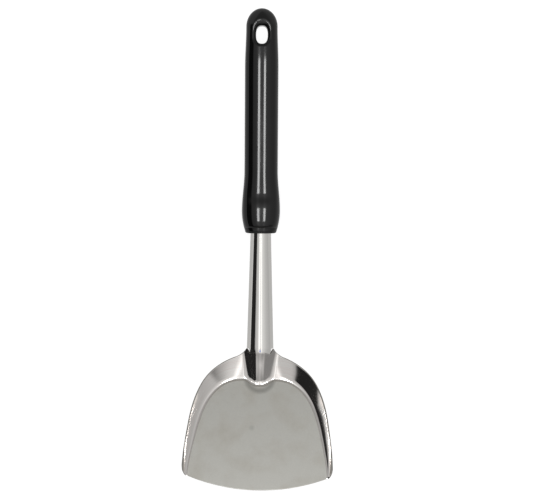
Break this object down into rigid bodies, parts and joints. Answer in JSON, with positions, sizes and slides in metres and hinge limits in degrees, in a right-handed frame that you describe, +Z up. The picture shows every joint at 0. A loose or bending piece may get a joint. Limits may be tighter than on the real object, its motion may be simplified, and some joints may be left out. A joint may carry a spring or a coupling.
{
  "type": "wok turner",
  "caption": "Wok turner: a shallow walled steel blade on a tapered tube shank, with an oval black moulded handle and a hanging hole.",
  "frame": {"origin": "middle of the bounding box's bottom: the table level under the tool as it lies face up", "axes": "+Z up, +Y along the tool from the blade to the hanging hole, +X to the right seen from above with the handle away"},
  "size_m": [0.1114, 0.3554, 0.0325],
  "materials": {
    "blade_steel": "satin plate with mirror polished walls",
    "bright_steel": "mirror polished",
    "weld_steel": "ground and polished weld",
    "black_resin": "smooth moulded, low gloss",
    "grey_rubber": "matte"
  },
  "bodies": {
    "root": {"blade": "blade_steel", "shank_tube": "bright_steel", "shank_end_cap": "bright_steel", "neck_weld": "weld_steel", "back_weld_left": "weld_steel", "back_weld_right": "weld_steel", "handle": "black_resin", "tube_plug": "grey_rubber"}
  },
  "joints": []
}
